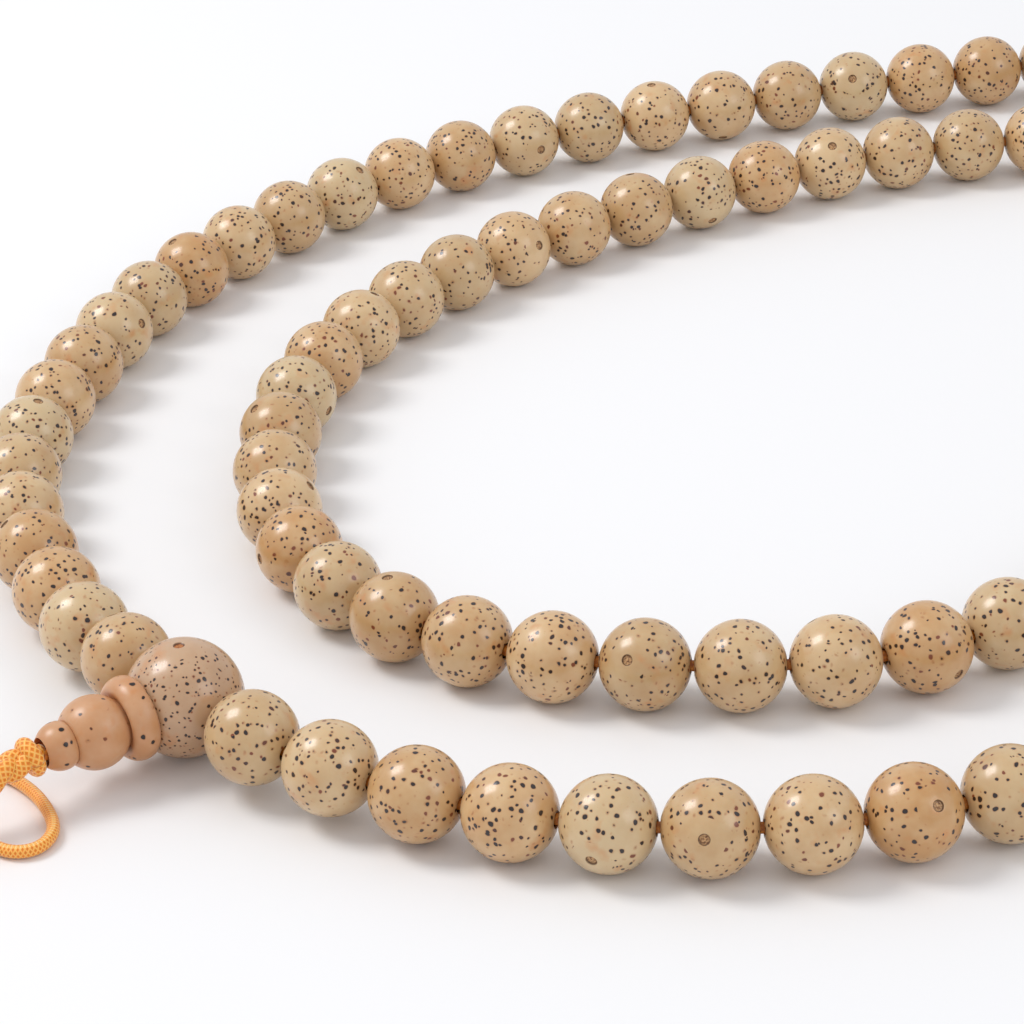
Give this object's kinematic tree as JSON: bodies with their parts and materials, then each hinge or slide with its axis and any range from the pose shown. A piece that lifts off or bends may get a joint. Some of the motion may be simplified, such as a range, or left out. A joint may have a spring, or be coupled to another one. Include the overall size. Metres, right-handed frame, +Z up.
{
  "type": "mala prayer beads",
  "caption": "Doubled loop of round speckled seed beads on one cord, closed by a larger three-hole bead, a turned end bead and a knotted cord tail.",
  "frame": {"origin": "on the table, under the middle of the box round the beads, guru bead, stupa bead and stringing cord", "axes": "+Z up from the table; +Y away from the guru bead's side of the loop; +X to the right seen from that side"},
  "size_m": [0.2493, 0.2275, 0.0188],
  "materials": {
    "seed_bead": "polished speckled seed",
    "guru_bead": "polished speckled seed",
    "stupa_bead": "turned and polished",
    "stringing_cord": "twisted polyester",
    "braided_rope": "satin braid",
    "thin_cord": "satin braid"
  },
  "bodies": {
    "strand": {"beads_013_to_028": "seed_bead", "beads_029_to_045": "seed_bead", "beads_063_to_077": "seed_bead", "beads_078_to_091": "seed_bead", "guru_bead": "guru_bead", "stringing_cord": "stringing_cord", "tail_braid": "braided_rope", "tail_cord_near": "thin_cord", "tail_cord_far": "thin_cord", "end_knot_near": "thin_cord", "end_knot_far": "thin_cord"},
    "stupa": {"stupa_bead": "stupa_bead"},
    "bead_001_body": {"bead_001": "seed_bead"},
    "bead_002_body": {"bead_002": "seed_bead"},
    "bead_003_body": {"bead_003": "seed_bead"},
    "bead_004_body": {"bead_004": "seed_bead"},
    "bead_005_body": {"bead_005": "seed_bead"},
    "bead_006_body": {"bead_006": "seed_bead"},
    "bead_007_body": {"bead_007": "seed_bead"},
    "bead_008_body": {"bead_008": "seed_bead"},
    "bead_009_body": {"bead_009": "seed_bead"},
    "bead_010_body": {"bead_010": "seed_bead"},
    "bead_011_body": {"bead_011": "seed_bead"},
    "bead_012_body": {"bead_012": "seed_bead"},
    "bead_046_body": {"bead_046": "seed_bead"},
    "bead_047_body": {"bead_047": "seed_bead"},
    "bead_048_body": {"bead_048": "seed_bead"},
    "bead_049_body": {"bead_049": "seed_bead"},
    "bead_050_body": {"bead_050": "seed_bead"},
    "bead_051_body": {"bead_051": "seed_bead"},
    "bead_052_body": {"bead_052": "seed_bead"},
    "bead_053_body": {"bead_053": "seed_bead"},
    "bead_054_body": {"bead_054": "seed_bead"},
    "bead_055_body": {"bead_055": "seed_bead"},
    "bead_056_body": {"bead_056": "seed_bead"},
    "bead_057_body": {"bead_057": "seed_bead"},
    "bead_058_body": {"bead_058": "seed_bead"},
    "bead_059_body": {"bead_059": "seed_bead"},
    "bead_060_body": {"bead_060": "seed_bead"},
    "bead_061_body": {"bead_061": "seed_bead"},
    "bead_062_body": {"bead_062": "seed_bead"},
    "bead_092_body": {"bead_092": "seed_bead"},
    "bead_093_body": {"bead_093": "seed_bead"},
    "bead_094_body": {"bead_094": "seed_bead"},
    "bead_095_body": {"bead_095": "seed_bead"},
    "bead_096_body": {"bead_096": "seed_bead"},
    "bead_097_body": {"bead_097": "seed_bead"},
    "bead_098_body": {"bead_098": "seed_bead"},
    "bead_099_body": {"bead_099": "seed_bead"},
    "bead_100_body": {"bead_100": "seed_bead"},
    "bead_101_body": {"bead_101": "seed_bead"},
    "bead_102_body": {"bead_102": "seed_bead"},
    "bead_103_body": {"bead_103": "seed_bead"},
    "bead_104_body": {"bead_104": "seed_bead"},
    "bead_105_body": {"bead_105": "seed_bead"},
    "bead_106_body": {"bead_106": "seed_bead"},
    "bead_107_body": {"bead_107": "seed_bead"},
    "bead_108_body": {"bead_108": "seed_bead"}
  },
  "joints": [
    {"name": "stupa_spin", "type": "hinge", "parent": "strand", "child": "stupa", "pos_m": [-0.08201, -0.07156, 0.00638], "axis": [-0.8311, -0.5561, 0], "continuous": true},
    {"name": "bead_001_spin", "type": "hinge", "parent": "strand", "child": "bead_001_body", "pos_m": [-0.07455, -0.08019, 0.00624], "axis": [0.7634, -0.6452, -0.0307], "continuous": true},
    {"name": "bead_002_spin", "type": "hinge", "parent": "strand", "child": "bead_002_body", "pos_m": [-0.06644, -0.08623, 0.00576], "axis": [0.8359, -0.5451, -0.0646], "continuous": true},
    {"name": "bead_003_spin", "type": "hinge", "parent": "strand", "child": "bead_003_body", "pos_m": [-0.05767, -0.09126, 0.00522], "axis": [0.8939, -0.4463, -0.0414], "continuous": true},
    {"name": "bead_004_spin", "type": "hinge", "parent": "strand", "child": "bead_004_body", "pos_m": [-0.04839, -0.09532, 0.00501], "axis": [0.9348, -0.3552, -0.0014], "continuous": true},
    {"name": "bead_005_spin", "type": "hinge", "parent": "strand", "child": "bead_005_body", "pos_m": [-0.03874, -0.0984, 0.005], "axis": [0.9679, -0.2512, 0], "continuous": true},
    {"name": "bead_006_spin", "type": "hinge", "parent": "strand", "child": "bead_006_body", "pos_m": [-0.02879, -0.10023, 0.005], "axis": [0.9941, -0.1089, 0], "continuous": true},
    {"name": "bead_007_spin", "type": "hinge", "parent": "strand", "child": "bead_007_body", "pos_m": [-0.01869, -0.10054, 0.005], "axis": [0.9989, 0.0459, 0], "continuous": true},
    {"name": "bead_008_spin", "type": "hinge", "parent": "strand", "child": "bead_008_body", "pos_m": [-0.00864, -0.09939, 0.005], "axis": [0.9835, 0.1809, 0], "continuous": true},
    {"name": "bead_009_spin", "type": "hinge", "parent": "strand", "child": "bead_009_body", "pos_m": [0.00122, -0.09704, 0.005], "axis": [0.959, 0.2835, 0], "continuous": true},
    {"name": "bead_010_spin", "type": "hinge", "parent": "strand", "child": "bead_010_body", "pos_m": [0.01086, -0.09388, 0.005], "axis": [0.9407, 0.3392, 0], "continuous": true},
    {"name": "bead_011_spin", "type": "hinge", "parent": "strand", "child": "bead_011_body", "pos_m": [0.02039, -0.09039, 0.005], "axis": [0.9372, 0.3488, 0], "continuous": true},
    {"name": "bead_012_spin", "type": "hinge", "parent": "strand", "child": "bead_012_body", "pos_m": [0.02991, -0.08688, 0.005], "axis": [0.9395, 0.3427, 0], "continuous": true},
    {"name": "bead_046_spin", "type": "hinge", "parent": "strand", "child": "bead_046_body", "pos_m": [-0.05871, 0.02915, 0.005], "axis": [-0.6151, -0.7884, 0], "continuous": true},
    {"name": "bead_047_spin", "type": "hinge", "parent": "strand", "child": "bead_047_body", "pos_m": [-0.06448, 0.02082, 0.005], "axis": [-0.5208, -0.8537, 0], "continuous": true},
    {"name": "bead_048_spin", "type": "hinge", "parent": "strand", "child": "bead_048_body", "pos_m": [-0.06912, 0.01183, 0.005], "axis": [-0.3952, -0.9186, 0], "continuous": true},
    {"name": "bead_049_spin", "type": "hinge", "parent": "strand", "child": "bead_049_body", "pos_m": [-0.07229, 0.00225, 0.005], "axis": [-0.2306, -0.9731, 0], "continuous": true},
    {"name": "bead_050_spin", "type": "hinge", "parent": "strand", "child": "bead_050_body", "pos_m": [-0.07392, -0.00774, 0.005], "axis": [-0.0908, -0.9959, 0], "continuous": true},
    {"name": "bead_051_spin", "type": "hinge", "parent": "strand", "child": "bead_051_body", "pos_m": [-0.07431, -0.01786, 0.005], "axis": [0.0145, -0.9999, 0], "continuous": true},
    {"name": "bead_052_spin", "type": "hinge", "parent": "strand", "child": "bead_052_body", "pos_m": [-0.07344, -0.02794, 0.005], "axis": [0.1576, -0.9875, 0], "continuous": true},
    {"name": "bead_053_spin", "type": "hinge", "parent": "strand", "child": "bead_053_body", "pos_m": [-0.07087, -0.03769, 0.005], "axis": [0.3495, -0.9369, 0], "continuous": true},
    {"name": "bead_054_spin", "type": "hinge", "parent": "strand", "child": "bead_054_body", "pos_m": [-0.06636, -0.0467, 0.005], "axis": [0.5401, -0.8416, 0], "continuous": true},
    {"name": "bead_055_spin", "type": "hinge", "parent": "strand", "child": "bead_055_body", "pos_m": [-0.06002, -0.05451, 0.005], "axis": [0.7125, -0.7016, 0], "continuous": true},
    {"name": "bead_056_spin", "type": "hinge", "parent": "strand", "child": "bead_056_body", "pos_m": [-0.05211, -0.06075, 0.005], "axis": [0.8483, -0.5295, 0], "continuous": true},
    {"name": "bead_057_spin", "type": "hinge", "parent": "strand", "child": "bead_057_body", "pos_m": [-0.04305, -0.06514, 0.005], "axis": [0.9415, -0.3372, 0], "continuous": true},
    {"name": "bead_058_spin", "type": "hinge", "parent": "strand", "child": "bead_058_body", "pos_m": [-0.03329, -0.0678, 0.005], "axis": [0.9821, -0.1885, 0], "continuous": true},
    {"name": "bead_059_spin", "type": "hinge", "parent": "strand", "child": "bead_059_body", "pos_m": [-0.02326, -0.06924, 0.005], "axis": [0.9955, -0.0946, 0], "continuous": true},
    {"name": "bead_060_spin", "type": "hinge", "parent": "strand", "child": "bead_060_body", "pos_m": [-0.01316, -0.06939, 0.005], "axis": [0.9979, 0.0641, 0], "continuous": true},
    {"name": "bead_061_spin", "type": "hinge", "parent": "strand", "child": "bead_061_body", "pos_m": [-0.00329, -0.06752, 0.005], "axis": [0.9518, 0.3068, 0], "continuous": true},
    {"name": "bead_062_spin", "type": "hinge", "parent": "strand", "child": "bead_062_body", "pos_m": [0.00596, -0.06348, 0.005], "axis": [0.8722, 0.4891, 0], "continuous": true},
    {"name": "bead_092_spin", "type": "hinge", "parent": "strand", "child": "bead_092_body", "pos_m": [-0.05094, 0.07705, 0.005], "axis": [-0.882, -0.4712, 0], "continuous": true},
    {"name": "bead_093_spin", "type": "hinge", "parent": "strand", "child": "bead_093_body", "pos_m": [-0.05961, 0.07182, 0.005], "axis": [-0.8281, -0.5606, 0], "continuous": true},
    {"name": "bead_094_spin", "type": "hinge", "parent": "strand", "child": "bead_094_body", "pos_m": [-0.06761, 0.06561, 0.005], "axis": [-0.7491, -0.6625, 0], "continuous": true},
    {"name": "bead_095_spin", "type": "hinge", "parent": "strand", "child": "bead_095_body", "pos_m": [-0.07481, 0.05849, 0.005], "axis": [-0.6713, -0.7412, 0], "continuous": true},
    {"name": "bead_096_spin", "type": "hinge", "parent": "strand", "child": "bead_096_body", "pos_m": [-0.08138, 0.05077, 0.005], "axis": [-0.6233, -0.782, 0], "continuous": true},
    {"name": "bead_097_spin", "type": "hinge", "parent": "strand", "child": "bead_097_body", "pos_m": [-0.0874, 0.0426, 0.005], "axis": [-0.562, -0.8271, 0], "continuous": true},
    {"name": "bead_098_spin", "type": "hinge", "parent": "strand", "child": "bead_098_body", "pos_m": [-0.09249, 0.03386, 0.005], "axis": [-0.4435, -0.8963, 0], "continuous": true},
    {"name": "bead_099_spin", "type": "hinge", "parent": "strand", "child": "bead_099_body", "pos_m": [-0.09643, 0.02453, 0.005], "axis": [-0.3319, -0.9433, 0], "continuous": true},
    {"name": "bead_100_spin", "type": "hinge", "parent": "strand", "child": "bead_100_body", "pos_m": [-0.0996, 0.01489, 0.005], "axis": [-0.2935, -0.956, 0], "continuous": true},
    {"name": "bead_101_spin", "type": "hinge", "parent": "strand", "child": "bead_101_body", "pos_m": [-0.10236, 0.00513, 0.005], "axis": [-0.251, -0.968, 0], "continuous": true},
    {"name": "bead_102_spin", "type": "hinge", "parent": "strand", "child": "bead_102_body", "pos_m": [-0.10431, -0.0048, 0.005], "axis": [-0.1319, -0.9913, 0], "continuous": true},
    {"name": "bead_103_spin", "type": "hinge", "parent": "strand", "child": "bead_103_body", "pos_m": [-0.10484, -0.0149, 0.005], "axis": [0.0267, -0.9996, 0], "continuous": true},
    {"name": "bead_104_spin", "type": "hinge", "parent": "strand", "child": "bead_104_body", "pos_m": [-0.10376, -0.02495, 0.005], "axis": [0.1871, -0.9823, 0], "continuous": true},
    {"name": "bead_105_spin", "type": "hinge", "parent": "strand", "child": "bead_105_body", "pos_m": [-0.10126, -0.03476, 0.005], "axis": [0.3058, -0.9521, 0], "continuous": true},
    {"name": "bead_106_spin", "type": "hinge", "parent": "strand", "child": "bead_106_body", "pos_m": [-0.09795, -0.04435, 0.00512], "axis": [0.3453, -0.9382, 0.0229], "continuous": true},
    {"name": "bead_107_spin", "type": "hinge", "parent": "strand", "child": "bead_107_body", "pos_m": [-0.09405, -0.05368, 0.00555], "axis": [0.4252, -0.9029, 0.0631], "continuous": true},
    {"name": "bead_108_spin", "type": "hinge", "parent": "strand", "child": "bead_108_body", "pos_m": [-0.08875, -0.06223, 0.00612], "axis": [0.6205, -0.7827, 0.0481], "continuous": true}
  ]
}
